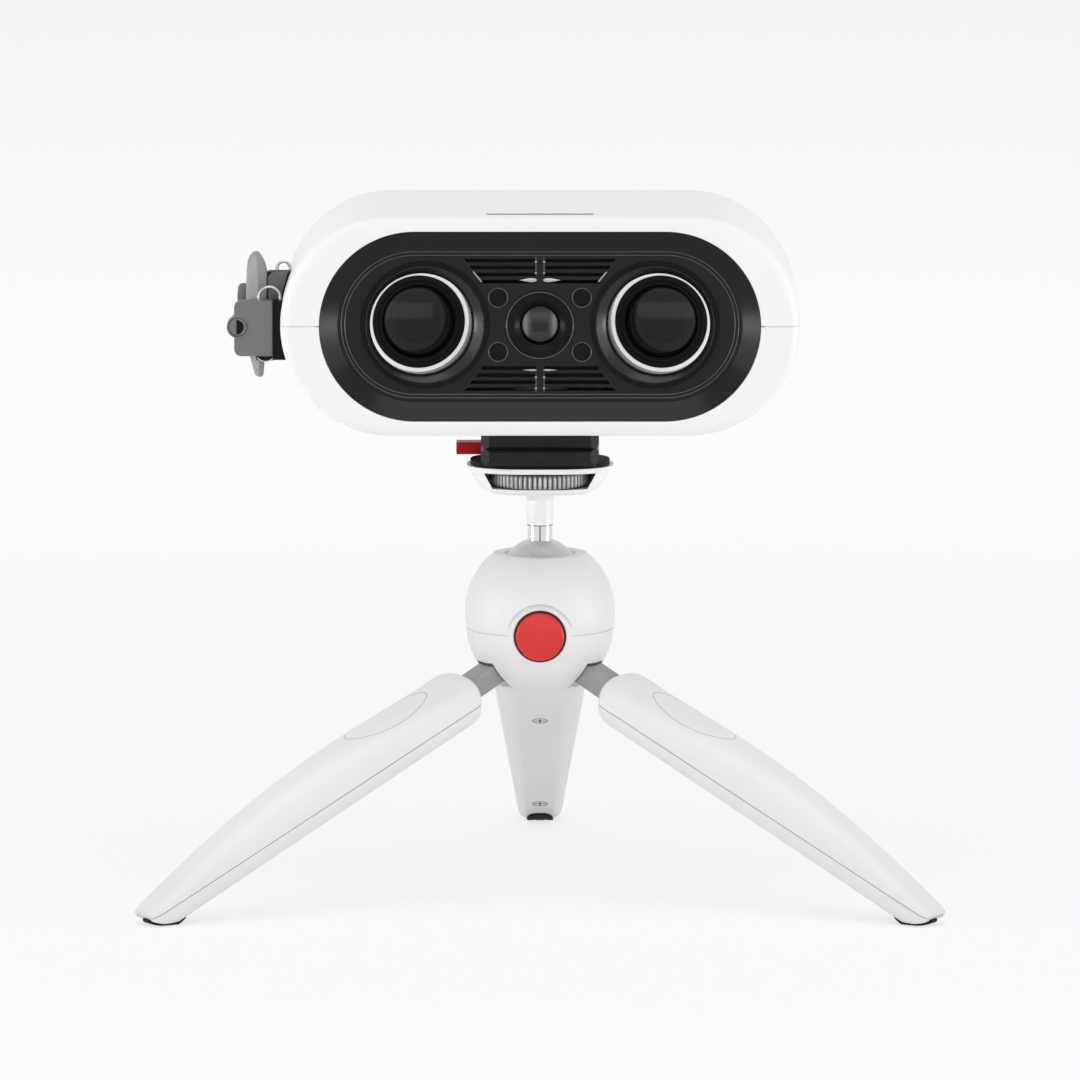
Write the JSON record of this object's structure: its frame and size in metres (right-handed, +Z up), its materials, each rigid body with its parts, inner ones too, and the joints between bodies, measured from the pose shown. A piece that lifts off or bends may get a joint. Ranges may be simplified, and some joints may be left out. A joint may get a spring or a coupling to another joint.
{
  "type": "dental photogrammetry camera on a mini tripod",
  "caption": "Stereo dental photogrammetry camera with ringed lenses and a pattern projector in a white casing, on a table tripod with folding legs, ball head and quick release.",
  "frame": {"origin": "middle of the bounding box on the table, under the camera; the tripod axis stands 33.5 mm in front of it", "axes": "+Z up, the lenses look along -Y, +X to the right as seen from the front"},
  "size_m": [0.2494, 0.2167, 0.2159],
  "materials": {
    "casing_white": "satin moulded",
    "bezel_black": "polished black",
    "barrel_black": "black anodised",
    "light_white": "diffuser",
    "lens_glass": "coated",
    "screw_dark": "blackened",
    "bench_alloy": "machined",
    "board_green": "solder mask",
    "brass": "turned",
    "clip_dark": "moulded",
    "clip_grey": "moulded",
    "wire_steel": "bright drawn",
    "release_black": "black anodised",
    "tab_red": "red anodised",
    "platform_white": "satin moulded",
    "pad_rubber": "ribbed",
    "wheel_silver": "knurled",
    "stud_chrome": "polished",
    "ball_grey": "satin",
    "seat_dark": "moulded",
    "button_red": "polished",
    "arm_metal": "satin cast",
    "leg_white": "satin moulded",
    "foot_rubber": "matte"
  },
  "bodies": {
    "tripod_body": {"upper_body": "leg_white", "lower_body": "leg_white", "hinge_pins": "wire_steel", "button_spring": "wire_steel"},
    "ball_cup": {"ball_seat": "seat_dark"},
    "ball": {"ball": "ball_grey"},
    "head": {"upper_casing": "casing_white", "lower_casing": "casing_white", "front_bezel": "bezel_black", "optics_plate": "bezel_black", "left_lens_barrel": "barrel_black", "right_lens_barrel": "barrel_black", "left_ring_light": "light_white", "right_ring_light": "light_white", "left_lens": "lens_glass", "right_lens": "lens_glass", "projector_barrel": "barrel_black", "projector_lens": "lens_glass", "projector_screws": "screw_dark", "optical_bench": "bench_alloy", "sensor_boards": "board_green", "main_board": "board_green", "casing_screws": "screw_dark", "tripod_bush": "brass", "clip_base": "clip_dark", "clip_block": "clip_grey", "clip_pin": "screw_dark", "clip_wires": "wire_steel", "release_plate": "release_black", "plate_screw": "screw_dark", "release_clamp": "release_black", "release_spring": "wire_steel", "platform": "platform_white", "platform_pad": "pad_rubber", "neck": "platform_white", "ball_stud": "stud_chrome"},
    "thumb_wheel": {"thumb_wheel": "wheel_silver", "camera_screw": "wheel_silver"},
    "release_tab": {"release_tab": "tab_red"},
    "clip_lever": {"clip_lever": "clip_grey"},
    "lock_button": {"lock_button": "button_red", "lock_wedge": "seat_dark"},
    "left_leg": {"left_leg_arm": "arm_metal", "left_leg_shell": "leg_white", "left_leg_cover": "leg_white", "left_leg_grip": "leg_white", "left_leg_foot": "foot_rubber", "left_leg_screws": "screw_dark"},
    "right_leg": {"right_leg_arm": "arm_metal", "right_leg_shell": "leg_white", "right_leg_cover": "leg_white", "right_leg_grip": "leg_white", "right_leg_foot": "foot_rubber", "right_leg_screws": "screw_dark"},
    "rear_leg": {"rear_leg_arm": "arm_metal", "rear_leg_shell": "leg_white", "rear_leg_cover": "leg_white", "rear_leg_grip": "leg_white", "rear_leg_foot": "foot_rubber", "rear_leg_screws": "screw_dark"}
  },
  "joints": [
    {"name": "ball_pan", "type": "hinge", "parent": "tripod_body", "child": "ball_cup", "pos_m": [0, -0.03354, 0.09747], "axis": [0, 0, 1], "continuous": true},
    {"name": "ball_lean", "type": "hinge", "parent": "ball_cup", "child": "ball", "pos_m": [0, -0.03354, 0.09747], "axis": [1, 0, 0], "range_deg": [-35, 35]},
    {"name": "head_spin", "type": "hinge", "parent": "ball", "child": "head", "pos_m": [0, -0.03354, 0.09747], "axis": [0, 0, 1], "continuous": true},
    {"name": "thumb_wheel_turn", "type": "hinge", "parent": "head", "child": "thumb_wheel", "pos_m": [0, -0.03354, 0.12957], "axis": [0, 0, 1], "continuous": true},
    {"name": "release_tab_push", "type": "slide", "parent": "head", "child": "release_tab", "axis": [1, 0, 0], "range_m": [0, 0.002], "stiffness_N_per_m": 400, "deforming": ["release_spring"]},
    {"name": "clip_lever_rock", "type": "hinge", "parent": "head", "child": "clip_lever", "pos_m": [-0.0934, -0.04854, 0.17897], "axis": [0, 1, 0], "range_deg": [-14, 0], "stiffness_Nm_per_rad": 0.15},
    {"name": "lock_button_push", "type": "slide", "parent": "tripod_body", "child": "lock_button", "axis": [0, 1, 0], "range_m": [0, 0.002], "stiffness_N_per_m": 600, "deforming": ["button_spring"]},
    {"name": "left_leg_fold", "type": "hinge", "parent": "tripod_body", "child": "left_leg", "pos_m": [-0.01126, -0.04004, 0.07167], "axis": [0.5, -0.866, 0], "range_deg": [0, 62]},
    {"name": "right_leg_fold", "type": "hinge", "parent": "tripod_body", "child": "right_leg", "pos_m": [0.01126, -0.04004, 0.07167], "axis": [0.5, 0.866, 0], "range_deg": [0, 62]},
    {"name": "rear_leg_fold", "type": "hinge", "parent": "tripod_body", "child": "rear_leg", "pos_m": [0, -0.02054, 0.07167], "axis": [-1, 0, 0], "range_deg": [0, 62]}
  ]
}
